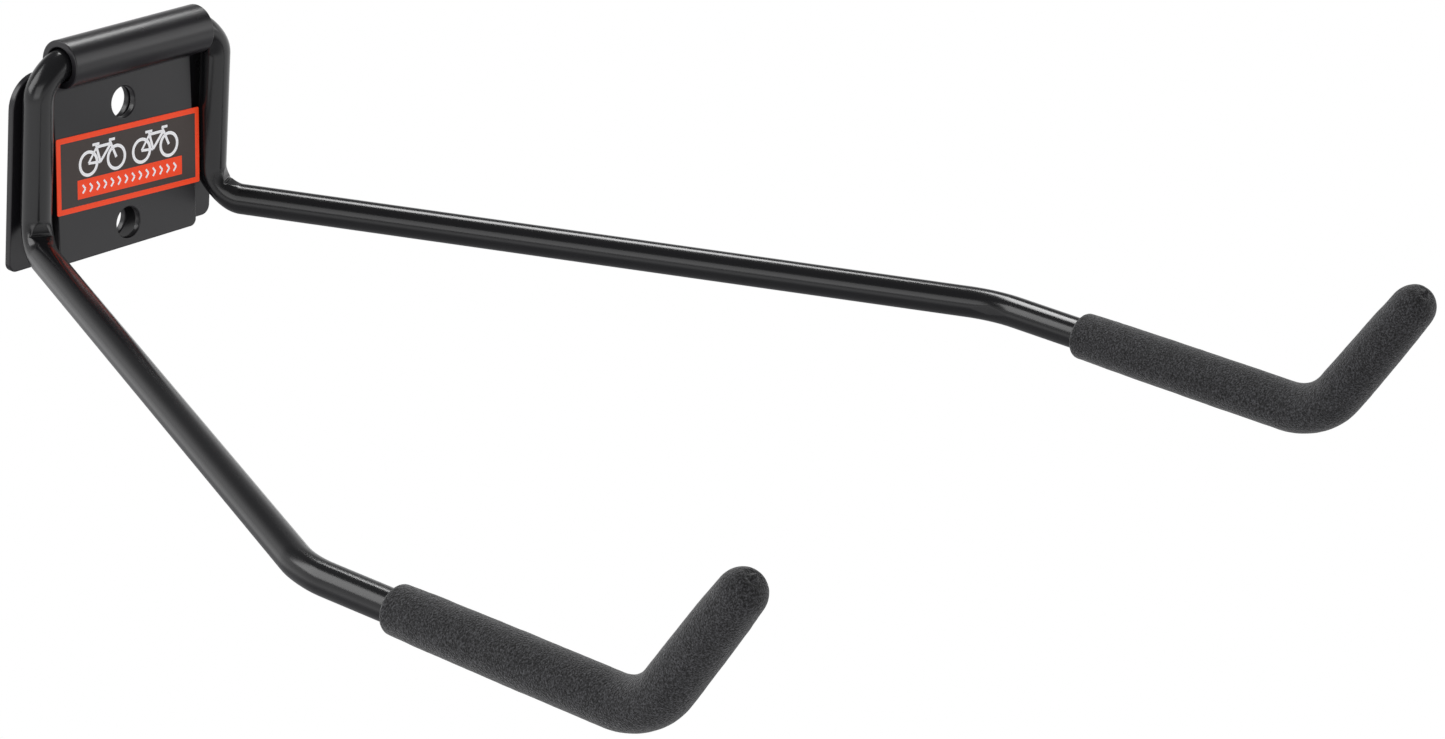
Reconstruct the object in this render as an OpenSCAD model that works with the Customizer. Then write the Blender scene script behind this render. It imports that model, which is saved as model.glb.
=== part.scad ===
// Folding wall rack for bicycles: a formed steel bracket, a bent tube swing frame that
// hinges in the bracket's rolled knuckle, and foam grips over the two hooked arms.
// X runs along the wall, Z is up, and the wall is the plane y = 0 with the rack on its -Y side.
// The origin lies on the wall, midway between the two screw holes of the back plate.
// All sizes are in millimetres. Left and right are as seen when facing the wall.

/* [Bracket] */
// Thickness of the bracket's steel sheet
sheet_t = 3.0; // [2.5:0.1:3.2]
// Width of the back plate
plate_w = 113.6; // [106:0.2:125]
// Depth of the back plate below the hinge axis
plate_drop = 86.8; // [84:0.2:95]
// Radius of the back plate's upper corners
shoulder_r = 13.6; // [8:0.2:15]
// Slope of the back plate's shoulders, up towards the knuckle
shoulder_slope = 2; // [0:1:10]
// Depth of the middle of the upper corners' arcs below the hinge axis
shoulder_drop = 17.9; // [17:0.1:24]
// Radius of the back plate's lower corners
plate_corner_r = 4; // [1:0.5:8]
// Diameter of the screw holes in the back plate
plate_hole_d = 15; // [9:0.5:15]
// Distance between the two screw holes
hole_pitch = 50.8; // [45:0.1:52]
// Height of the hinge axis above the middle of the screw holes
axis_height = 51.4; // [50:0.1:54]

/* [Knuckle and flap] */
// Length of the rolled knuckle, which is also the flap's width
knuckle_l = 77.3; // [70:0.1:78]
// Clearance round the tube in the knuckle, on the radius
knuckle_gap = 0.65; // [0.6:0.05:0.8]
// Inner radius of the reverse bend below the knuckle
reverse_r = 3.3; // [3:0.1:3.5]
// Angle at which the flap stands out from the wall towards its lower edge
flap_lean = 5.5; // [4:0.5:8]
// Depth of the flap's lower edge below the hinge axis
flap_drop = 84.8; // [82:0.2:88]
// Radius of the flap's lower corners
flap_corner_r = 3; // [1:0.5:6]
// Diameter of the screw holes in the flap
flap_hole_d = 13; // [8:0.5:13]
// Depth of the flap's upper hole below the hinge axis
flap_hole_drop = 24.4; // [23:0.1:26]

/* [Swing frame] */
// Outer diameter of the frame's tube
tube_od = 12.7; // [12:0.1:12.8]
// Wall thickness of the tube
tube_wall = 1.6; // [1:0.1:2.4]
// Distance between the middles of the two legs
leg_spacing = 99.2; // [99:0.2:103]
// Length of a leg, from the hinge axis to the arm
leg_drop = 75; // [70:0.5:80]
// Bend radius at the top of a leg, to the tube's middle
leg_top_bend_r = 13; // [12:0.5:13]
// Bend radius at the foot of a leg, to the tube's middle
leg_foot_bend_r = 14; // [12:0.5:24]
// Distance between the middles of the two arms where they run parallel
arm_spacing = 402; // [360:2:440]
// Reach of an arm from the hinge axis to its kink
kink_reach = 296; // [260:1:320]
// Bend radius at the kink
kink_bend_r = 45; // [20:1:60]
// Reach of an arm from the hinge axis to its hook's corner
hook_reach = 453.5; // [440:0.5:480]
// Angle of the hook above the arm
hook_angle = 57.5; // [45:0.5:70]
// Bend radius at the hook
hook_bend_r = 28; // [24:1:32]
// Length of tube beyond the hook's corner
hook_tube_l = 67; // [60:0.5:68]

/* [Grips and plugs] */
// Outer diameter of the foam grip
grip_od = 20; // [18:0.5:23]
// Length of grip on the arm, up to the hook's corner
grip_arm_l = 114.5; // [80:0.5:125]
// Distance from the hook's corner to the grip's closed tip
grip_hook_l = 75.5; // [75:0.5:80]
// Clearance of the plug in the tube and of the tube in the grip, on the radius
fit_gap = 0.05; // [0.02:0.01:0.1]
// Length of the end plug's stem inside the tube
plug_stem_l = 12; // [8:1:16]
// Height of the end plug's head
plug_head_h = 3; // [2:0.5:4]
// Height of the dome on the end plug's head
plug_dome_h = 1.8; // [1:0.2:1.8]

/* [Label] */
// Width of the label
label_w = 80.4; // [70:0.2:81]
// Height of the label
label_h = 31.8; // [25:0.2:34]
// Thickness of the label
label_t = 0.3; // [0.2:0.05:0.5]
// Distance from the top of the flat flap to the label's middle
label_down = 36; // [34:0.2:38]
// Distance from the flap's middle to the label's middle
label_shift = 1.3; // [0:0.1:1.4]
// Turn of the label out of square
label_turn = 2; // [0:0.1:2.5]

/* [Hidden] */
$fn = 64;
// Extra depth of a cut beyond the face it opens.
cut = 0.4;
// Metal thins where it is bent: each face of a bend lies this far inside the straight it joins.
thinning = 0.01;
// Length and angle by which neighbouring runs lap inside the wall, so that they join.
lap = 0.2;
lap_angle = 1;
tube_r = tube_od / 2;
tube_bore_r = tube_r - tube_wall;
knuckle_bore_r = tube_r + knuckle_gap;
knuckle_r = knuckle_bore_r + sheet_t;
// The back of the knuckle lies on the wall with the back plate.
axis_y = -knuckle_r;
axis_z = axis_height;
reverse_drop = knuckle_r + reverse_r;
// Where the front face of the flap leaves the reverse bend, from the hinge axis.
flap_top_y = reverse_r * cos(flap_lean);
flap_top_z = -reverse_drop - reverse_r * sin(flap_lean);
flap_l = (flap_drop + flap_top_z) / cos(flap_lean);
flap_hole_down = (flap_hole_drop + flap_top_z) / cos(flap_lean);
grip_r = grip_od / 2;

// Middle line of the tube's right half, as corners measured from the hinge axis.
hook_dir = [0, -cos(hook_angle), sin(hook_angle)];
hook_corner = [arm_spacing / 2, -hook_reach, -leg_drop];
tube_end = hook_corner + hook_tube_l * hook_dir;
frame_corners = [
    [0, 0, 0],
    [leg_spacing / 2, 0, 0],
    [leg_spacing / 2, 0, -leg_drop],
    [arm_spacing / 2, -kink_reach, -leg_drop],
    hook_corner,
    tube_end
];
frame_bends = [0, leg_top_bend_r, leg_foot_bend_r, kink_bend_r, hook_bend_r, 0];
grip_start = hook_corner + [0, grip_arm_l, 0];
grip_cap = hook_corner + (grip_hook_l - grip_r) * hook_dir;
grip_bore_end = tube_end + (plug_head_h + fit_gap) * hook_dir;
grip_bends = [0, hook_bend_r, 0];

function unit(v) = v / norm(v);
// Angle through which a line of corners p turns at corner i.
function turn_at(p, i) = acos(unit(p[i] - p[i - 1]) * unit(p[i + 1] - p[i]));
// Length of straight line that the bend at corner i takes from each side of it.
function setback(p, bends, i) = bends[i] == 0 ? 0 : bends[i] * tan(turn_at(p, i) / 2);
// Points along a circular arc from angle a0 to a1.
function arc(centre, r, a0, a1, steps) =
    [for (k = [0:steps]) let (a = a0 + (a1 - a0) * k / steps) centre + r * [cos(a), sin(a)]];

// Moves a shape drawn up +Z from the origin to start at a point and run along a direction.
module aim(at, dir) {
    translate(at)
        rotate([0, acos(dir[2]), atan2(dir[1], dir[0])])
            children();
}

module bar_section(r, bore_r) {
    difference() {
        circle(r);
        if (bore_r > 0) circle(bore_r);
    }
}

// Where the straight run next to corner i begins: at the corner itself if it has no bend.
function run_start(p, bends, i) = bends[i] == 0 ? 0 : setback(p, bends, i) - lap;

// The straight run of a bar after corner i, lapping the bends at its two ends.
module straight_run(p, bends, i, r, bore_r) {
    dir = unit(p[i + 1] - p[i]);
    start = run_start(p, bends, i);
    run = norm(p[i + 1] - p[i]) - start - run_start(p, bends, i + 1);
    aim(p[i] + start * dir, dir)
        linear_extrude(run)
            bar_section(r, bore_r);
}

// The bend of a bar at corner i, turned about the middle of its own arc.
module bend_run(p, bends, i, r, bore_r) {
    from = unit(p[i] - p[i - 1]);
    to = unit(p[i + 1] - p[i]);
    inward = unit(to - (to * from) * from);
    hub = cross(from, inward);
    middle = p[i] - setback(p, bends, i) * from + bends[i] * inward;
    multmatrix([
        [-inward[0], from[0], hub[0], middle[0]],
        [-inward[1], from[1], hub[1], middle[1]],
        [-inward[2], from[2], hub[2], middle[2]],
        [0, 0, 0, 1]
    ])
        rotate_extrude(angle = turn_at(p, i))
            translate([bends[i], 0])
                bar_section(r - thinning, bore_r > 0 ? bore_r + thinning : 0);
}

// A round bar, or a tube where it has a bore, along corners that each have a bend radius.
module bent_bar(p, bends, r, bore_r = 0) {
    for (i = [0:len(p) - 2]) straight_run(p, bends, i, r, bore_r);
    for (i = [1:len(p) - 2]) bend_run(p, bends, i, r, bore_r);
}

module from_hinge_axis() {
    translate([0, axis_y, axis_z]) children();
}

module both_sides() {
    children();
    mirror([1, 0, 0]) children();
}

// Draws with x towards the wall, y up and z along the knuckle, from the hinge axis.
module across_knuckle() {
    from_hinge_axis()
        rotate([90, 0, 90])
            children();
}

// Draws with x across the flap, y up it and z out of its front face, from its top edge.
module on_flap() {
    from_hinge_axis()
        translate([0, flap_top_y, flap_top_z])
            rotate([90 - flap_lean, 0, 0])
                children();
}

// A width of sheet rolled about the origin through an angle.
module rolled_sheet(inner_r, angle, thickness = sheet_t) {
    rotate_extrude(angle = angle)
        translate([inner_r, -knuckle_l / 2])
            square([thickness, knuckle_l]);
}

// Right half of the back plate's outline, with the hinge axis at y = 0.
function plate_half() =
    let (edge = plate_w / 2,
         tongue = knuckle_l / 2,
         shoulder = [edge - shoulder_r, -shoulder_drop],
         touch = shoulder + shoulder_r * [sin(shoulder_slope), cos(shoulder_slope)],
         low = [edge - plate_corner_r, plate_corner_r - plate_drop])
    concat(
        [[0, -plate_drop]],
        arc(low, plate_corner_r, -90, 0, 8),
        arc(shoulder, shoulder_r, 0, 90 - shoulder_slope, 10),
        [[tongue, touch[1] + (touch[0] - tongue) * tan(shoulder_slope)], [tongue, 0], [0, 0]]
    );

// Right half of the flap's outline, hanging from y = 0, with its lap into the reverse bend.
function flap_half() =
    concat(
        [[0, lap], [0, -flap_l]],
        arc([knuckle_l / 2 - flap_corner_r, flap_corner_r - flap_l], flap_corner_r, -90, 0, 8),
        [[knuckle_l / 2, lap]]
    );

module back_plate() {
    difference() {
        rotate([90, 0, 0])
            linear_extrude(sheet_t)
                translate([0, axis_z])
                    both_sides() polygon(plate_half());
        for (side = [-1, 1])
            translate([0, cut, side * hole_pitch / 2])
                rotate([90, 0, 0])
                    cylinder(h = sheet_t + 2 * cut, d = plate_hole_d);
    }
}

module flap() {
    difference() {
        on_flap()
            translate([0, 0, -sheet_t])
                linear_extrude(sheet_t)
                    both_sides() polygon(flap_half());
        for (i = [0, 1])
            on_flap()
                translate([0, -flap_hole_down - i * hole_pitch, -sheet_t - cut])
                    cylinder(h = sheet_t + 2 * cut, d = flap_hole_d);
    }
}

// One sheet: back plate, three quarters of a roll, a reverse bend, and the flap.
module wall_bracket() {
    color("#2b2b2d") {
        back_plate();
        across_knuckle() rolled_sheet(knuckle_bore_r, 270);
        across_knuckle()
            translate([0, -reverse_drop])
                rotate(-flap_lean)
                    rolled_sheet(reverse_r + thinning, 90 + flap_lean + lap_angle, sheet_t - 2 * thinning);
        flap();
    }
}

// One bent steel tube, open at both ends.
module swing_frame() {
    color("#242426")
        from_hinge_axis()
            both_sides() bent_bar(frame_corners, frame_bends, tube_r, tube_bore_r);
}

// A closed-end foam sleeve over the arm's last stretch and the hook.
module right_grip() {
    color("#333335")
        from_hinge_axis()
            difference() {
                union() {
                    bent_bar([grip_start, hook_corner, grip_cap], grip_bends, grip_r);
                    translate(grip_cap) sphere(grip_r - thinning);
                }
                bent_bar([grip_start + [0, cut, 0], hook_corner, grip_bore_end],
                         grip_bends, tube_r + fit_gap);
            }
}

module left_grip() {
    mirror([1, 0, 0]) right_grip();
}

// A moulded plug that covers the tube's cut end inside the grip.
module right_end_plug() {
    dome_r = (tube_r * tube_r + plug_dome_h * plug_dome_h) / (2 * plug_dome_h);
    dome_angle = asin(tube_r / dome_r);
    dome = arc([0, plug_head_h - dome_r], dome_r, 90 - dome_angle, 90, 8);
    color("#1b1b1c")
        from_hinge_axis()
            aim(tube_end, hook_dir)
                rotate_extrude()
                    polygon(concat(
                        [[0, -plug_stem_l], [tube_bore_r - fit_gap, -plug_stem_l],
                         [tube_bore_r - fit_gap, 0], [tube_r, 0]],
                        dome
                    ));
}

module left_end_plug() {
    mirror([1, 0, 0]) right_end_plug();
}

// A printed vinyl sticker, put on slightly out of square and proud of the flap's right edge.
module label() {
    color("#e8441f")
        on_flap()
            translate([label_shift, -label_down, label_t / 2])
                rotate(-label_turn)
                    cube([label_w, label_h, label_t], center = true);
}

wall_bracket();
swing_frame();
left_grip();
right_grip();
left_end_plug();
right_end_plug();
label();
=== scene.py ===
import math

import bmesh
import bpy
from mathutils import Matrix, Vector, noise


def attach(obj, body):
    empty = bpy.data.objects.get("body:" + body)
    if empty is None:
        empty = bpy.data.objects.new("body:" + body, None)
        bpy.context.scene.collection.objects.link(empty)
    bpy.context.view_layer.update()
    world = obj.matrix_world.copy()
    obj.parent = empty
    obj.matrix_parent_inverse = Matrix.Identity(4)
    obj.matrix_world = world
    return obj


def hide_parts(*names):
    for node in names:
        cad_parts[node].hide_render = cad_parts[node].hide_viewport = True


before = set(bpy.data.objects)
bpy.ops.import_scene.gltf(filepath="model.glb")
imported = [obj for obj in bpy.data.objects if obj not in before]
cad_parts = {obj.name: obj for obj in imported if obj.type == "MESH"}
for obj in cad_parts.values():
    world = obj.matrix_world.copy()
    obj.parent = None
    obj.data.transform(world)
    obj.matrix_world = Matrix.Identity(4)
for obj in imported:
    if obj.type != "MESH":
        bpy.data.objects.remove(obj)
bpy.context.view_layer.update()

# ---- Camera -------------------------------------------------------------------------------
# A long lens on the left of the rack, a little above it, looking along the arms' spread,
# and rolled a few degrees.
CAMERA_AT = Vector((-1.4395, -1.4578, 0.71804))
CAMERA_AZIMUTH = -51.83
CAMERA_ELEVATION = 21.242
CAMERA_ROLL = 4.182
LENS_MM = 131.35

azimuth = math.radians(CAMERA_AZIMUTH)
elevation = math.radians(CAMERA_ELEVATION)
camera_back = Vector((math.sin(azimuth) * math.cos(elevation),
                      -math.cos(azimuth) * math.cos(elevation),
                      math.sin(elevation)))
camera_data = bpy.data.cameras.new("camera")
camera_data.lens = LENS_MM
camera_data.sensor_width = 36
camera_data.clip_start = 0.05
camera_data.clip_end = 40
camera = bpy.data.objects.new("camera", camera_data)
camera.matrix_world = (Matrix.Translation(CAMERA_AT)
                       @ camera_back.to_track_quat("Z", "Y").to_matrix().to_4x4()
                       @ Matrix.Rotation(math.radians(CAMERA_ROLL), 4, "Z"))
bpy.context.collection.objects.link(camera)
bpy.context.scene.camera = camera
bpy.context.scene.view_settings.view_transform = "Standard"

# ---- Floor and light ----------------------------------------------------------------------
# A wide white paper floor well below the rack, so that no shadow of it is seen. It is dim
# under the rack and bright farther off, which gives the black coats their pale grey flanks.
FLOOR_Z = -0.62
FLOOR_SIDE = 12.0
FLOOR_SHADE = "#b4b4b6"
FLOOR_GLOW = 0.85
FLOOR_DIM_R = 0.9
FLOOR_LIT_R = 2.0
ROOM_LOW, ROOM_LOW_GREY = 0.12, (0.8, 0.8, 0.805, 1)
ROOM_HIGH, ROOM_HIGH_GREY = 0.42, (0.16, 0.16, 0.162, 1)
RACK_MIDDLE = Vector((0.0, -0.2, 0.0))


def linear(code, alpha=1.0):
    """An sRGB hex colour as linear red, green, blue and alpha."""
    parts = [int(code[i:i + 2], 16) / 255 for i in (1, 3, 5)]
    return (*[c / 12.92 if c <= 0.04045 else ((c + 0.055) / 1.055) ** 2.4 for c in parts], alpha)


def add_node(tree, kind, settings=None, inputs=None, links=None):
    """Adds a node, with its settings, its sockets' values, and links into its sockets."""
    node = tree.nodes.new(kind)
    for name, value in (settings or {}).items():
        setattr(node, name, value)
    for name, value in (inputs or {}).items():
        node.inputs[name].default_value = value
    for name, socket in (links or {}).items():
        tree.links.new(socket, node.inputs[name])
    return node


def new_material(name):
    """An empty node material and its tree."""
    material = bpy.data.materials.new(name)
    material.use_nodes = True
    material.node_tree.nodes.clear()
    return material, material.node_tree


def finish_material(tree, inputs, links=None):
    """Ends a material's tree in one Principled shader."""
    shader = add_node(tree, "ShaderNodeBsdfPrincipled", inputs=inputs, links=links)
    add_node(tree, "ShaderNodeOutputMaterial", links={"Surface": shader.outputs["BSDF"]})


def add_object(name, bm, *materials):
    """Makes a smooth-shaded object from a bmesh that is in metres."""
    mesh = bpy.data.meshes.new(name)
    bm.to_mesh(mesh)
    bm.free()
    for material in materials:
        mesh.materials.append(material)
    mesh.shade_smooth()
    made = bpy.data.objects.new(name, mesh)
    bpy.context.collection.objects.link(made)
    return made


# Matt white paper that is burnt out to an even white, but throws only a soft grey light
# back up at the rack.
paper, tree = new_material("white_paper")
seen = add_node(tree, "ShaderNodeLightPath")
where = add_node(tree, "ShaderNodeTexCoord")
away = add_node(tree, "ShaderNodeVectorMath", {"operation": "LENGTH"},
                links={"Vector": where.outputs["Object"]})
lit = add_node(tree, "ShaderNodeMapRange", {"interpolation_type": "SMOOTHSTEP"},
               {"From Min": FLOOR_DIM_R, "From Max": FLOOR_LIT_R, "To Min": 0.0,
                "To Max": FLOOR_GLOW},
               {"Value": away.outputs["Value"]})
matt = add_node(tree, "ShaderNodeBsdfPrincipled", inputs={
    "Base Color": linear(FLOOR_SHADE), "Roughness": 0.9, "Specular IOR Level": 0.1,
    "Emission Color": (1, 1, 1, 1)}, links={"Emission Strength": lit.outputs["Result"]})
burnt_out = add_node(tree, "ShaderNodeEmission", inputs={"Color": (1, 1, 1, 1), "Strength": 1.0})
mixed = add_node(tree, "ShaderNodeMixShader", links={
    "Fac": seen.outputs["Is Camera Ray"], 1: matt.outputs["BSDF"],
    2: burnt_out.outputs["Emission"]})
add_node(tree, "ShaderNodeOutputMaterial", links={"Surface": mixed.outputs["Shader"]})
bm = bmesh.new()
bmesh.ops.create_grid(bm, x_segments=1, y_segments=1, size=FLOOR_SIDE / 2,
                      matrix=Matrix.Translation((0, 0, FLOOR_Z)))
add_object("floor", bm, paper)

# The room: pale grey up to a low height, darker overhead, white where it is looked at.
world = bpy.data.worlds.new("studio")
bpy.context.scene.world = world
world.use_nodes = True
tree = world.node_tree
tree.nodes.clear()
where = add_node(tree, "ShaderNodeTexCoord")
height = add_node(tree, "ShaderNodeSeparateXYZ", links={"Vector": where.outputs["Generated"]})
ramp = add_node(tree, "ShaderNodeValToRGB", links={"Fac": height.outputs["Z"]})
low_end, high_end = ramp.color_ramp.elements
low_end.position, low_end.color = ROOM_LOW, ROOM_LOW_GREY
high_end.position, high_end.color = ROOM_HIGH, ROOM_HIGH_GREY
seen = add_node(tree, "ShaderNodeLightPath")
mixed = add_node(tree, "ShaderNodeMix", {"data_type": "RGBA"},
                 {"B": (1, 1, 1, 1)},
                 {"Factor": seen.outputs["Is Camera Ray"], "A": ramp.outputs["Color"]})
glow = add_node(tree, "ShaderNodeBackground", inputs={"Strength": 1.0},
                links={"Color": mixed.outputs["Result"]})
add_node(tree, "ShaderNodeOutputWorld", links={"Surface": glow.outputs["Background"]})


def add_softbox(name, direction, distance, width, height, radiance, along=(0, 0, 0)):
    """A softbox that faces the rack from a direction, its width level or along a line. It is
    given by its radiance, so that its size changes the highlight but not how bright it is."""
    data = bpy.data.lights.new(name, "AREA")
    data.shape = "RECTANGLE"
    data.size = width
    data.size_y = height
    data.energy = radiance * math.pi * width * height
    lamp = bpy.data.objects.new(name, data)
    out = Vector(direction).normalized()
    wide = Vector(along) if any(along) else Vector((0, 0, 1)).cross(out)
    wide = (wide - wide.dot(out) * out).normalized()
    turn = Matrix((wide, out.cross(wide), out)).transposed().to_4x4()
    lamp.matrix_world = Matrix.Translation(RACK_MIDDLE + out * distance) @ turn
    bpy.context.collection.objects.link(lamp)


# A strip overhead and a little behind, a small one on the right, and three large boxes.
add_softbox("top_strip", (0.44, 0.46, 0.84), 1.05, 0.48, 0.28, 11.0, along=(0.95, -0.3, 0))
add_softbox("right_high", (0.72, 0.22, 0.67), 1.25, 0.40, 0.30, 1.6, along=(0.95, -0.3, 0))
add_softbox("left_back", (-0.58, 0.62, 0.50), 2.2, 1.3, 1.3, 3.6)
add_softbox("front_left", (-0.86, -0.32, 0.36), 2.4, 1.7, 1.4, 1.5)
add_softbox("front_right", (0.72, -0.56, 0.30), 2.4, 1.8, 1.3, 1.3)

# ---- Wall bracket ------------------------------------------------------------------------
# One piece of 3 mm steel sheet. A laser-cut blank is rolled three quarters of a turn into the
# knuckle, turned back under it and left hanging as the flap, then powder coated satin black.
MM = 0.001
SHEET = 3.0
AXIS_Y = -10.0
AXIS_Z = 51.4
ROLL_R = 8.5
REVERSE_R = 4.8
LEAN = 5.5
PLATE_W = 113.6
PLATE_DROP = 86.8
PLATE_CORNER = 4.0
SHOULDER_IN = 4.13
SHOULDER_OUT = 4.77
SHOULDER_CUT = 13.13
KNUCKLE_W = 77.3
FLAP_L = 71.51
FLAP_CORNER = 3.0
HOLE_PITCH = 50.8
PLATE_HOLE_R = 7.5
FLAP_HOLE_R = 6.5
FLAP_HOLE_UP = 10.83
ROLL_CUTS = 54
REVERSE_CUTS = 16
SHEET_EDGE_R = 0.55

roll_l = ROLL_R * math.radians(270)
reverse_l = REVERSE_R * math.radians(90 + LEAN)
# Each run of the sheet's middle line: its length, and its turn in degrees to the left.
SHEET_RUNS = [(PLATE_DROP, 0), (roll_l, 270), (reverse_l, -90 - LEAN), (FLAP_L, 0)]
blank_l = sum(run[0] for run in SHEET_RUNS)


def formed(along, off):
    """Where a point of the flat blank goes in the rolled sheet: y and z in mm."""
    at = Vector((-SHEET / 2, AXIS_Z - PLATE_DROP))
    heading = math.radians(90)
    for i, (length, turn) in enumerate(SHEET_RUNS):
        here = along if i == len(SHEET_RUNS) - 1 else min(along, length)
        curve = math.radians(turn) / length
        if curve:
            hub = at + Vector((-math.sin(heading), math.cos(heading))) / curve
            heading += here * curve
            at = hub + Vector((math.sin(heading), -math.cos(heading))) / curve
        else:
            at = at + here * Vector((math.cos(heading), math.sin(heading)))
        along -= here
        if along <= 0:
            break
    return at + off * Vector((-math.sin(heading), math.cos(heading)))


# The outline starts with sharp corners, which are then rounded.
half_outline = [(PLATE_W / 2, 0, PLATE_CORNER),
                (PLATE_W / 2, PLATE_DROP - SHOULDER_OUT, SHOULDER_CUT),
                (KNUCKLE_W / 2, PLATE_DROP - SHOULDER_IN, 0),
                (KNUCKLE_W / 2, blank_l, FLAP_CORNER)]
bm = bmesh.new()
outline = half_outline + [(-x, y, r) for x, y, r in reversed(half_outline)]
corners = [bm.verts.new((x, y, 0)) for x, y, r in outline]
bm.faces.new(corners)
for corner, (x, y, reach) in zip(corners, outline):
    if reach:
        bmesh.ops.bevel(bm, geom=[corner], offset=reach, segments=10, profile=0.5,
                        affect="VERTICES", material=-1)
bmesh.ops.delete(bm, geom=bm.faces[:], context="FACES_ONLY")
plate_hole = PLATE_DROP - AXIS_Z - HOLE_PITCH / 2
flap_hole = blank_l - FLAP_L + FLAP_HOLE_UP
for first_hole, radius in ((plate_hole, PLATE_HOLE_R), (flap_hole, FLAP_HOLE_R)):
    for middle in (first_hole, first_hole + HOLE_PITCH):
        bmesh.ops.create_circle(bm, segments=72, radius=radius,
                                matrix=Matrix.Translation((0, middle, 0)))
bmesh.ops.triangle_fill(bm, edges=bm.edges[:], use_beauty=True)
cuts = [PLATE_DROP + roll_l * i / ROLL_CUTS for i in range(ROLL_CUTS + 1)]
cuts += [PLATE_DROP + roll_l + reverse_l * i / REVERSE_CUTS for i in range(1, REVERSE_CUTS + 1)]
for cut in cuts:
    bmesh.ops.bisect_plane(bm, geom=bm.verts[:] + bm.edges[:] + bm.faces[:],
                           plane_co=(0, cut, 0), plane_no=(0, 1, 0))
bmesh.ops.recalc_face_normals(bm, faces=bm.faces[:])
bmesh.ops.solidify(bm, geom=bm.faces[:], thickness=SHEET)
low = min(v.co.z for v in bm.verts)
bmesh.ops.translate(bm, verts=bm.verts[:], vec=(0, 0, -low - SHEET / 2))
bmesh.ops.recalc_face_normals(bm, faces=bm.faces[:])
rim = [e for e in bm.edges if len(e.link_faces) == 2
       and abs(e.link_faces[0].normal.z) + abs(e.link_faces[1].normal.z) < 1.5
       and max(abs(f.normal.z) for f in e.link_faces) > 0.9]
bmesh.ops.bevel(bm, geom=rim, offset=SHEET_EDGE_R, segments=3, profile=0.5,
                affect="EDGES", material=-1)
for v in bm.verts:
    place = formed(v.co.y, v.co.z)
    v.co = Vector((v.co.x, place.x, place.y)) * MM
bmesh.ops.recalc_face_normals(bm, faces=bm.faces[:])


def object_noise(tree, size, detail, roughness=0.5):
    """Noise that stays with the object, with bumps of a size in mm."""
    where = add_node(tree, "ShaderNodeTexCoord")
    made = add_node(tree, "ShaderNodeTexNoise",
                    inputs={"Scale": 1 / (size * MM), "Detail": detail, "Roughness": roughness},
                    links={"Vector": where.outputs["Object"]})
    return made.outputs["Fac"]


def mottle(tree, factor, dark, pale):
    """A colour that drifts between two shades."""
    mixed = add_node(tree, "ShaderNodeMix", {"data_type": "RGBA"},
                     {"A": linear(dark), "B": linear(pale)}, {"Factor": factor})
    return mixed.outputs["Result"]


def relief(tree, height, strength, depth):
    """A bumpy surface normal, with a depth in mm."""
    bumps = add_node(tree, "ShaderNodeBump", inputs={"Strength": strength, "Distance": depth * MM},
                     links={"Height": height})
    return bumps.outputs["Normal"]


def powder_coat(name, dark, pale, smoothest, roughest, cloud_size, peel_size, strength, depth):
    """A baked powder film: clouded black, uneven sheen and a faint orange peel."""
    material, tree = new_material(name)
    cloud = object_noise(tree, cloud_size, 3.0)
    sheen = add_node(tree, "ShaderNodeMapRange", inputs={"To Min": smoothest, "To Max": roughest},
                     links={"Value": cloud})
    peel = object_noise(tree, peel_size, 1.0)
    finish_material(tree, {"IOR": 1.5}, {
        "Base Color": mottle(tree, cloud, dark, pale), "Roughness": sheen.outputs["Result"],
        "Normal": relief(tree, peel, strength, depth)})
    return material


# Satin black powder coat: a soft sheen that spreads the highlight along the knuckle.
bracket_coat = powder_coat("satin_black_powder_coat", "#1a191c", "#201f22", 0.25, 0.32,
                           cloud_size=22, peel_size=3.2, strength=0.3, depth=0.02)
bracket = add_object("bracket_sheet", bm, bracket_coat)
bracket.modifiers.new("flats", "WEIGHTED_NORMAL").keep_sharp = True
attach(bracket, "bracket")
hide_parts("wall_bracket")

# ---- Label -------------------------------------------------------------------------------
# A printed vinyl sticker with its own gloss film, pressed on the flap by hand a little out of
# square. The print is plain: two bicycle signs over a bar of arrowheads.
LABEL_W = 80.4
LABEL_H = 31.8
LABEL_T = 0.28
INK_T = 0.04
LABEL_CORNER = 0.7
BORDER = 2.3
LABEL_DOWN = 36.0
LABEL_SHIFT = 1.3
LABEL_TURN = -2.0
FLAP_TOP_OUT = 3.3
FLAP_TOP_DOWN = 13.3
# How strongly the print glows: painted light that brightens the label.
PAINTED_INK_GLOW = 0.22
ORANGE, BROWN, WHITE = 0, 1, 2
# The orange bar, up from the label's lower edge and in from its left one, and its arrowheads.
BAR_MID = 8.95
BAR_LEFT, BAR_RIGHT, BAR_H = 11.3, 70.3, 7.9
ARROWS, FIRST_ARROW, ARROW_PITCH = 14, 15.6, 3.95
ARROW_BACK, ARROW_RISE, ARROW_STROKE = 1.5, 1.75, 0.85
# The two bicycle signs: their rear hubs, and the wheels.
SIGN_HUBS = (17.6, 47.4)
SIGN_HUB_UP = 19.0
WHEELBASE = 15.6
WHEEL_R, WHEEL_STROKE = 4.75, 1.35


def add_ink(bm, before, colour, place):
    """Gives the faces made since `before` a colour and puts them in place."""
    new_faces = [f for f in bm.faces if f not in before]
    for f in new_faces:
        f.material_index = colour
    new_verts = list({v for f in new_faces for v in f.verts})
    bmesh.ops.transform(bm, matrix=place, verts=new_verts)


def add_bar(bm, start, end, width, colour, top=INK_T):
    """A flat printed stroke from one point to another."""
    before = set(bm.faces)
    run = Vector(end) - Vector(start)
    middle = (Vector(start) + Vector(end)) / 2
    bmesh.ops.create_cube(bm, size=1)
    place = (Matrix.Translation((middle.x, middle.y, top / 2))
             @ Matrix.Rotation(math.atan2(run.y, run.x), 4, "Z")
             @ Matrix.Diagonal((run.length, width, top, 1)))
    add_ink(bm, before, colour, place)


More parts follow.
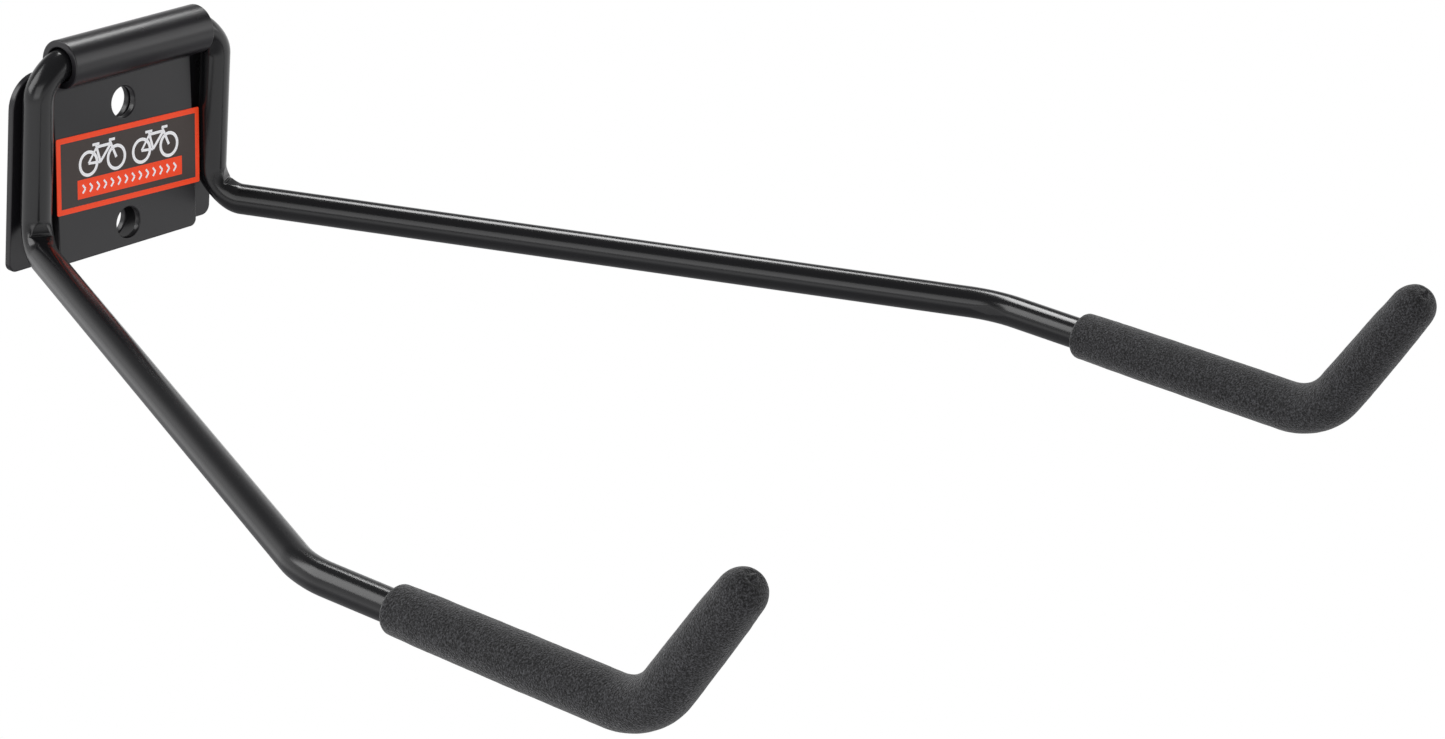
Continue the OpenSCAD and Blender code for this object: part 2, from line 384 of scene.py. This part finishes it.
def add_ring(bm, centre, radius, width, colour, top=INK_T):
    """A flat printed ring: a small square section spun round its middle."""
    before = set(bm.faces)
    section = bmesh.ops.create_grid(bm, x_segments=1, y_segments=1, size=0.5)["verts"]
    bmesh.ops.transform(bm, verts=section, matrix=(
        Matrix.Translation((radius, 0, top / 2))
        @ Matrix.Rotation(math.radians(90), 4, "X")
        @ Matrix.Diagonal((width, top, 1, 1))))
    face = section[0].link_faces[0]
    edges = face.edges[:]
    bmesh.ops.delete(bm, geom=[face], context="FACES_ONLY")
    bmesh.ops.spin(bm, geom=section + edges, cent=(0, 0, 0), axis=(0, 0, 1),
                   angle=math.radians(360), steps=48, use_merge=True, use_duplicate=False)
    add_ink(bm, before, colour, Matrix.Translation((centre[0], centre[1], 0)))


bm = bmesh.new()
bmesh.ops.create_grid(bm, x_segments=1, y_segments=1, size=0.5,
                      matrix=Matrix.Diagonal((LABEL_W, LABEL_H, 1, 1)))
bmesh.ops.bevel(bm, geom=bm.verts[:], offset=LABEL_CORNER, segments=5, profile=0.5,
                affect="VERTICES", material=-1)
bmesh.ops.solidify(bm, geom=bm.faces[:], thickness=LABEL_T)
bmesh.ops.recalc_face_normals(bm, faces=bm.faces[:])
bmesh.ops.translate(bm, verts=bm.verts[:], vec=(0, 0, -max(v.co.z for v in bm.verts)))
# The brown field, which leaves the orange vinyl bare as a border.
left, low = -LABEL_W / 2, -LABEL_H / 2
add_bar(bm, (left + BORDER, 0), (-left - BORDER, 0), LABEL_H - 2 * BORDER, BROWN, INK_T / 2)
# The bar, and the arrowheads on it.
bar_mid = low + BAR_MID
add_bar(bm, (left + BAR_LEFT, bar_mid), (left + BAR_RIGHT, bar_mid), BAR_H, ORANGE)
for i in range(ARROWS):
    tip = left + FIRST_ARROW + i * ARROW_PITCH
    for side in (-1, 1):
        add_bar(bm, (tip - ARROW_BACK, bar_mid + side * ARROW_RISE), (tip, bar_mid),
                ARROW_STROKE, WHITE, 2 * INK_T)
# The bicycle signs: wheels, frame and fork, then saddle and handlebar on their short stems.
for hub_in in SIGN_HUBS:
    back = Vector((left + hub_in, low + SIGN_HUB_UP))
    front = back + Vector((WHEELBASE, 0))
    crank = back + Vector((6.6, -0.4))
    seat = back + Vector((4.6, 6.0))
    head = back + Vector((12.6, 6.2))
    for wheel in (back, front):
        add_ring(bm, wheel, WHEEL_R, WHEEL_STROKE, WHITE)
    for start, end, width in ((back, crank, 1.1), (back, seat, 1.0), (crank, seat, 1.2),
                              (seat, head, 1.2), (crank, head, 1.2), (front, head, 1.2)):
        add_bar(bm, start, end, width, WHITE)
    add_bar(bm, seat + Vector((-2.3, 1.3)), seat + Vector((1.6, 1.3)), 1.1, WHITE)
    add_bar(bm, seat, seat + Vector((-0.4, 1.5)), 1.1, WHITE)
    add_bar(bm, head, head + Vector((-0.7, 1.7)), 1.1, WHITE)
    add_bar(bm, head + Vector((-1.0, 1.6)), head + Vector((2.3, 1.6)), 1.1, WHITE)
flap_top = Vector((0, AXIS_Y + FLAP_TOP_OUT * math.cos(math.radians(LEAN)),
                   AXIS_Z - FLAP_TOP_DOWN - FLAP_TOP_OUT * math.sin(math.radians(LEAN))))
on_flap = (Matrix.Scale(MM, 4) @ Matrix.Translation(flap_top)
           @ Matrix.Rotation(math.radians(90 - LEAN), 4, "X")
           @ Matrix.Translation((LABEL_SHIFT, -LABEL_DOWN, LABEL_T))
           @ Matrix.Rotation(math.radians(LABEL_TURN), 4, "Z"))
bmesh.ops.transform(bm, matrix=on_flap, verts=bm.verts[:])
bmesh.ops.recalc_face_normals(bm, faces=bm.faces[:])


def vinyl(name, shade, other):
    """Gloss vinyl with a printed colour: even, with the faint grain of a screen print and a faint
    painted glow.
    """
    material, tree = new_material(name)
    # Painted light: the ink glows a little, so the print looks brighter than the lamps alone make
    # it.
    finish_material(tree, {
        "Roughness": 0.45, "IOR": 1.4, "Emission Color": linear(shade),
        "Emission Strength": PAINTED_INK_GLOW}, {
        "Base Color": mottle(tree, object_noise(tree, 0.5, 2.0), shade, other),
        "Normal": relief(tree, object_noise(tree, 9, 1.0), 0.4, 0.03)})
    return material


label = add_object("label_print", bm,
                   vinyl("orange_vinyl", "#f8481a", "#f34016"),
                   vinyl("brown_black_vinyl", "#3a322f", "#423936"),
                   vinyl("white_vinyl", "#f2f2f4", "#e6e6ea"))
label.data.shade_flat()
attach(label, "bracket")
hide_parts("label")

# ---- Swing frame -------------------------------------------------------------------------
# One half-inch steel tube, cold bent: it turns in the knuckle, goes down both sides of the
# plate and out to the two hooks. Its tight bends are pressed, so they are flattened and creased.
TUBE_R = 6.35
TUBE_BORE_R = 4.75
LEG_X = 49.6
LEG_DROP = 75.0
ARM_X = 201.0
KINK_Y = -296.0
HOOK_Y = -453.5
HOOK_ANGLE = 57.5
HOOK_BEND_R, HOOK_BEND_STEPS = 28, 32
HOOK_TUBE_L = 67.0
TUBE_SIDES = 96
END_CHAMFER, END_CHAMFER_L = 0.3, 0.2
END_BORE_L = 16
# A pressed bend: the crease's wide and narrow parts as shares of the bend's angle, how deep the
# narrow one is against the wide, how flat the crease's floor is, and the bulge to the sides.
CREASE_REACH, FOLD_REACH = 0.42, 0.06
FOLD_SHARE = 0.5
CREASE_FLATNESS = 0.94
BULGE = 0.10

hook_dir = Vector((0, -math.cos(math.radians(HOOK_ANGLE)), math.sin(math.radians(HOOK_ANGLE))))
hook_corner = Vector((ARM_X, HOOK_Y, -LEG_DROP))
tube_end = hook_corner + HOOK_TUBE_L * hook_dir
# Each corner of the middle line: bend radius, turns of the mesh, how far the outside of the
# bend is flattened, and how deep its inside is creased.
TUBE_CORNERS = [
    (Vector((0, 0, 0)), 0, 0, 0, 0),
    (Vector((LEG_X, 0, 0)), 13, 48, 1.2, 0.7),
    (Vector((LEG_X, 0, -LEG_DROP)), 14, 60, 1.3, 1.4),
    (Vector((ARM_X, KINK_Y, -LEG_DROP)), 45, 24, 0.25, 0.35),
    (hook_corner, HOOK_BEND_R, HOOK_BEND_STEPS, 0.5, 0),
    (tube_end, 0, 0, 0, 0)
]


def smooth(t):
    """Rises smoothly from 0 to 1."""
    t = min(max(t, 0.0), 1.0)
    return t * t * (3 - 2 * t)


def extrude_loop(bm, edges, shift):
    """Carries an open loop of edges along a straight run and returns the new loop."""
    made = bmesh.ops.extrude_edge_only(bm, edges=edges)["geom"]
    bmesh.ops.translate(bm, vec=shift, verts=[g for g in made if isinstance(g, bmesh.types.BMVert)])
    return [g for g in made if isinstance(g, bmesh.types.BMEdge)
            and all(v in made for v in g.verts)]


def next_ring(bm, loop, shift, radius):
    """Carries a loop on by a shift and gives the new loop a radius of its own."""
    loop = extrude_loop(bm, loop, shift)
    ring = list({v for e in loop for v in e.verts})
    centre = sum((v.co for v in ring), Vector()) / len(ring)
    reach = (ring[0].co - centre).length
    bmesh.ops.scale(bm, verts=ring, vec=Vector((1, 1, 1)) * radius / reach,
                    space=Matrix.Translation(-centre))
    return loop


def press_bend(verts, hub, start, axis, radius, angle, bar_r, flat, crease):
    """Flattens the outside of a bend and creases its inside, as a bending press does."""
    side = axis.cross(start)
    for v in verts:
        from_hub = v.co - hub
        height = from_hub.dot(axis)
        along = math.atan2(from_hub.dot(side), from_hub.dot(start))
        if not 0 < along < angle:
            continue
        radial = Vector((from_hub.dot(start), from_hub.dot(side))).length
        out = (radial - radius) / bar_r
        middle = math.sin(math.pi * along / angle) ** 2
        moved = -flat * middle * smooth((out + 0.2) / 1.2)
        off_middle = abs(along / angle - 0.5)
        notch = max(0.0, 1 - off_middle / CREASE_REACH)
        notch += FOLD_SHARE * max(0.0, 1 - off_middle / FOLD_REACH)
        limit = -(1 - crease / bar_r * notch)
        if crease and out < limit:
            moved += (limit - out) * bar_r * CREASE_FLATNESS
        wider = 1 + BULGE * flat / bar_r * middle
        direction = start * math.cos(along) + side * math.sin(along)
        v.co = hub + direction * (radial + moved) + axis * height * wider


def sweep_bar(bm, loop, corners, bar_r):
    """Carries a ring of edges along the straight runs and bends of a line of corners."""
    at = corners[0][0]
    for i in range(1, len(corners)):
        corner, radius, steps, flat, crease = corners[i]
        before = (corner - corners[i - 1][0]).normalized()
        if not radius:
            return extrude_loop(bm, loop, corner - at)
        after = (corners[i + 1][0] - corner).normalized()
        angle = before.angle(after)
        setback = radius * math.tan(angle / 2)
        loop = extrude_loop(bm, loop, corner - before * setback - at)
        inward = (after - after.dot(before) * before).normalized()
        axis = before.cross(inward)
        hub = corner - before * setback + inward * radius
        known = set(bm.verts)
        turned = bmesh.ops.spin(bm, geom=loop, cent=hub, axis=axis, angle=angle, steps=steps,
                                use_merge=False, use_duplicate=False)["geom_last"]
        loop = [g for g in turned if isinstance(g, bmesh.types.BMEdge)]
        press_bend([v for v in bm.verts if v not in known], hub, -inward, axis, radius, angle,
                   bar_r, flat, crease)
        at = corner + after * setback
    return loop


bm = bmesh.new()
bmesh.ops.create_circle(bm, segments=TUBE_SIDES, radius=TUBE_R,
                        matrix=Matrix.Rotation(math.radians(90), 4, "Y"))
last = sweep_bar(bm, bm.edges[:], TUBE_CORNERS, TUBE_R)
# The cut end: in across the wall, back down the bore, and closed off out of sight.
for radius, shift in ((TUBE_R - END_CHAMFER, END_CHAMFER_L), (TUBE_BORE_R, 0),
                      (TUBE_BORE_R, -END_BORE_L)):
    last = next_ring(bm, last, hook_dir * shift, radius)
bmesh.ops.edgeloop_fill(bm, edges=last)
bmesh.ops.mirror(bm, geom=bm.verts[:] + bm.edges[:] + bm.faces[:], axis="X", merge_dist=0.001)
bmesh.ops.remove_doubles(bm, verts=bm.verts[:], dist=0.001)
bmesh.ops.transform(bm, verts=bm.verts[:], matrix=(
    Matrix.Scale(MM, 4) @ Matrix.Translation((0, AXIS_Y, AXIS_Z))))
bmesh.ops.recalc_face_normals(bm, faces=bm.faces[:])

# Gloss black powder coat on the tube: long clear highlights, softened by a fine orange peel.
frame_coat = powder_coat("gloss_black_powder_coat", "#141416", "#19191b", 0.17, 0.23,
                         cloud_size=30, peel_size=4.5, strength=0.06, depth=0.015)
tube = add_object("frame_tube", bm, frame_coat)
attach(tube, "frame")
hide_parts("swing_frame")

# ---- End plugs ---------------------------------------------------------------------------
# Moulded polyethylene plugs pushed into the tube's two cut ends, under the grips' closed tips.
# Each has a stem in the bore and a low domed head over the cut.
PLUG_STEM_L = 12.0
PLUG_STEM_R = 4.7
PLUG_HEAD_H = 3.0
PLUG_DOME_H = 1.8
PLUG_RINGS = 10
PLUG_SHARP = 40

# Black polyethylene with the fine matt grain of a spark-eroded mould.
plug_plastic, tree = new_material("black_polyethylene")
grain = object_noise(tree, 0.4, 3.0)
finish_material(tree, {"IOR": 1.51, "Roughness": 0.48},
                {"Base Color": mottle(tree, grain, "#161617", "#202022"),
                 "Normal": relief(tree, grain, 0.4, 0.03)})

dome_r = (TUBE_R ** 2 + PLUG_DOME_H ** 2) / (2 * PLUG_DOME_H)
dome_angle = math.asin(TUBE_R / dome_r)
for name, side in (("left_end_plug", -1), ("right_end_plug", 1)):
    bm = bmesh.new()
    bmesh.ops.create_circle(bm, segments=TUBE_SIDES, radius=PLUG_STEM_R, matrix=(
        Matrix.Translation(tube_end - hook_dir * PLUG_STEM_L)
        @ hook_dir.to_track_quat("Z", "Y").to_matrix().to_4x4()))
    loop = bm.edges[:]
    bmesh.ops.edgeloop_fill(bm, edges=loop)
    loop = extrude_loop(bm, loop, hook_dir * PLUG_STEM_L)
    loop = next_ring(bm, loop, Vector((0, 0, 0)), TUBE_R)
    loop = extrude_loop(bm, loop, hook_dir * (PLUG_HEAD_H - PLUG_DOME_H))
    for i in range(PLUG_RINGS - 1, -1, -1):
        angle = dome_angle * i / PLUG_RINGS
        was = dome_angle * (i + 1) / PLUG_RINGS
        rise = hook_dir * dome_r * (math.cos(angle) - math.cos(was))
        if i:
            loop = next_ring(bm, loop, rise, dome_r * math.sin(angle))
        else:
            loop = extrude_loop(bm, loop, rise)
    bmesh.ops.pointmerge(bm, verts=list({v for e in loop for v in e.verts}),
                         merge_co=tube_end + hook_dir * PLUG_HEAD_H)
    bmesh.ops.transform(bm, verts=bm.verts[:], matrix=(
        Matrix.Scale(MM, 4) @ Matrix.Translation((0, AXIS_Y, AXIS_Z))
        @ Matrix.Diagonal((side, 1, 1, 1))))
    bmesh.ops.recalc_face_normals(bm, faces=bm.faces[:])
    plug = add_object(name + "_moulding", bm, plug_plastic)
    plug.data.set_sharp_from_angle(angle=math.radians(PLUG_SHARP))
    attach(plug, "frame")
    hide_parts(name)

# ---- Foam grips --------------------------------------------------------------------------
# Dipped-end sleeves of closed-cell nitrile foam, stretched over the arms' ends and round the
# hooks. The mouth is a little narrower, and the closed tip keeps a small moulding nub.
GRIP_R = 10.0
GRIP_BORE_R = 6.4
GRIP_ARM_L = 114.5
GRIP_HOOK_L = 65.5
# The straight runs begin this far from the hook's corner, and the cross cuts end just short.
STRAIGHT_FROM, CUTS_FROM = 17, 16
MOUTH_EDGE_R, MOUTH_CUTS = 2.0, 8
MOUTH_CHAMFER, MOUTH_BORE_L = 0.3, 14
TIP_RINGS = 24
# The sleeve's radius at distances from the hook's corner, along the arm and along the hook.
ARM_SWELL = [(0, 10.0), (30, 10.0), (60, 9.97), (80, 9.86), (100, 9.72), (114.5, 9.45)]
HOOK_SWELL = [(0, 10.0), (20, 10.0), (40, 9.75), (55, 9.45), (65.5, 9.0), (80, 8.8)]
GRIP_SIDES = 112
GRIP_STEP = 1.1
# The foam's unevenness: wave sizes and heights, and how much the waves shrink it on the whole.
LONG_WAVE, LONG_WAVE_H = 9, 0.10
SHORT_WAVE, SHORT_WAVE_H = 2.5, 0.05
SHRINK = 0.12
# The moulding nub on the tip's pole, and the dimple round it.
NUB_R, NUB_H = 0.9, 1.0
DIMPLE_AT, DIMPLE_R, DIMPLE_H = 2.5, 1.4, 1.0

grip_start = hook_corner + Vector((0, GRIP_ARM_L, 0))
grip_cap = hook_corner + hook_dir * GRIP_HOOK_L


def swell_at(swells, along):
    """The radius at a distance, between the listed ones."""
    for (near, near_r), (far, far_r) in zip(swells, swells[1:]):
        if along <= far:
            break
    return near_r + (far_r - near_r) * min(1.0, (along - near) / (far - near))


def build_grip():
    """One right-hand grip in mm, measured from the hinge axis."""
    bm = bmesh.new()
    bmesh.ops.create_circle(bm, segments=GRIP_SIDES, radius=GRIP_R, matrix=(
        Matrix.Translation(grip_start) @ Matrix.Rotation(math.radians(90), 4, "X")))
    loop = sweep_bar(bm, bm.edges[:], [
        (grip_start, 0, 0, 0, 0), (hook_corner, HOOK_BEND_R, HOOK_BEND_STEPS, 0, 0),
        (grip_cap, 0, 0, 0, 0)], GRIP_R)
    # Cross cuts along the straight runs, for the taper and the foam's slight unevenness.
    cuts = [(grip_start - Vector((0, i * GRIP_STEP, 0)), Vector((0, 1, 0)))
            for i in range(1, int((GRIP_ARM_L - CUTS_FROM) / GRIP_STEP))]
    cuts += [(grip_start - Vector((0, MOUTH_EDGE_R * (i / MOUTH_CUTS) ** 2, 0)),
              Vector((0, 1, 0))) for i in range(1, MOUTH_CUTS)]
    cuts += [(grip_cap - hook_dir * (i * GRIP_STEP), hook_dir)
             for i in range(1, int((GRIP_HOOK_L - CUTS_FROM) / GRIP_STEP))]
    for place, facing in cuts:
        bmesh.ops.bisect_plane(bm, geom=bm.verts[:] + bm.edges[:] + bm.faces[:],
                               plane_co=place, plane_no=facing)
    # The closed tip: rings that shrink round a half ball.
    for i in range(1, TIP_RINGS):
        up = math.radians(i * 90 / TIP_RINGS)
        was = math.radians((i - 1) * 90 / TIP_RINGS)
        loop = extrude_loop(bm, loop, hook_dir * GRIP_R * (math.sin(up) - math.sin(was)))
        ring = list({v for e in loop for v in e.verts})
        centre = grip_cap + hook_dir * GRIP_R * math.sin(up)
        bmesh.ops.scale(bm, verts=ring, vec=Vector((1, 1, 1)) * math.cos(up) / math.cos(was),
                        space=Matrix.Translation(-centre))
    pole = extrude_loop(bm, loop, hook_dir * GRIP_R * (1 - math.sin(up)))
    bmesh.ops.pointmerge(bm, verts=list({v for e in pole for v in e.verts}),
                         merge_co=grip_cap + hook_dir * GRIP_R)
    # The stretched foam thins towards the mouth and towards the tip.
    for v in bm.verts:
        from_corner = v.co - hook_corner
        for run, swells in ((Vector((0, 1, 0)), ARM_SWELL), (hook_dir, HOOK_SWELL)):
            along = from_corner.dot(run)
            if along < STRAIGHT_FROM:
                continue
            radius = swell_at(swells, along)
            edge = MOUTH_EDGE_R - (GRIP_ARM_L - along)
            if run.y == 1 and edge > 0:
                radius -= MOUTH_EDGE_R - math.sqrt(max(0.0, MOUTH_EDGE_R ** 2 - edge ** 2))
            spoke = from_corner - run * along
            v.co = hook_corner + run * along + spoke * radius / GRIP_R
    # The mouth's face and the bore, back along the tube and closed off round it.
    mouth = [e for e in bm.edges if len(e.link_faces) == 1]
    for radius, shift in ((GRIP_BORE_R + MOUTH_CHAMFER, 0), (GRIP_BORE_R, -MOUTH_CHAMFER),
                          (GRIP_BORE_R, -MOUTH_BORE_L)):
        mouth = next_ring(bm, mouth, (0, shift, 0), radius)
    bmesh.ops.edgeloop_fill(bm, edges=mouth)
    bmesh.ops.recalc_face_normals(bm, faces=bm.faces[:])
    return bm


# Closed-cell nitrile foam: matt charcoal with fine bumpy cells, whose specks are painted light and
# shade, pale on the raised cells and dark in the pits, and a faint pale bloom where it turns away.
foam, tree = new_material("charcoal_nitrile_foam")
specks = object_noise(tree, 0.72, 3.0, roughness=0.7)
# The specks' painted light and shade: pale where the cells stand up, dark in the pits.
speck_light_and_shade = add_node(tree, "ShaderNodeMapRange", inputs={"From Min": 0.43, "From Max": 0.67},
                       links={"Value": specks})
worn = add_node(tree, "ShaderNodeMapRange", inputs={"To Min": 0.86, "To Max": 1.12},
                links={"Value": object_noise(tree, 14, 3.0)})
shade = add_node(tree, "ShaderNodeVectorMath", {"operation": "SCALE"}, links={
    "Vector": mottle(tree, speck_light_and_shade.outputs["Result"], "#040405", "#4e4e51"),
    "Scale": worn.outputs["Result"]})
where = add_node(tree, "ShaderNodeTexCoord")
cells = add_node(tree, "ShaderNodeTexVoronoi", {"feature": "F1"}, {"Scale": 1 / (0.8 * MM)},
                 {"Vector": where.outputs["Object"]})
pits = add_node(tree, "ShaderNodeMath", {"operation": "ADD"},
                links={0: specks, 1: cells.outputs["Distance"]})
finish_material(tree, {"IOR": 1.45, "Roughness": 0.8, "Sheen Weight": 0.35,
                       "Sheen Roughness": 0.4},
                {"Base Color": shade.outputs["Vector"],
                 "Normal": relief(tree, pits.outputs["Value"], 0.9, 0.28)})

for name, side in (("left_grip", -1), ("right_grip", 1)):
    bm = build_grip()
    bmesh.ops.transform(bm, verts=bm.verts[:], matrix=(
        Matrix.Scale(MM, 4) @ Matrix.Translation((0, AXIS_Y, AXIS_Z))
        @ Matrix.Diagonal((side, 1, 1, 1))))
    bmesh.ops.recalc_face_normals(bm, faces=bm.faces[:])
    apex = grip_cap + hook_dir * GRIP_R
    apex = Vector((apex.x * side, AXIS_Y + apex.y, AXIS_Z + apex.z)) * MM
    for v in bm.verts:
        bump = LONG_WAVE_H * noise.noise(v.co / (LONG_WAVE * MM) + Vector((side * 3.0, 0, 0)))
        bump += SHORT_WAVE_H * noise.noise(v.co / (SHORT_WAVE * MM)) - SHRINK
        far = (v.co - apex).length / MM
        bump += NUB_H * math.exp(-(far / NUB_R) ** 2)
        bump -= DIMPLE_H * math.exp(-((far - DIMPLE_AT) / DIMPLE_R) ** 2)
        v.co += v.normal * bump * MM
    sleeve = add_object(name + "_foam", bm, foam)
    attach(sleeve, "frame")
    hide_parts(name)
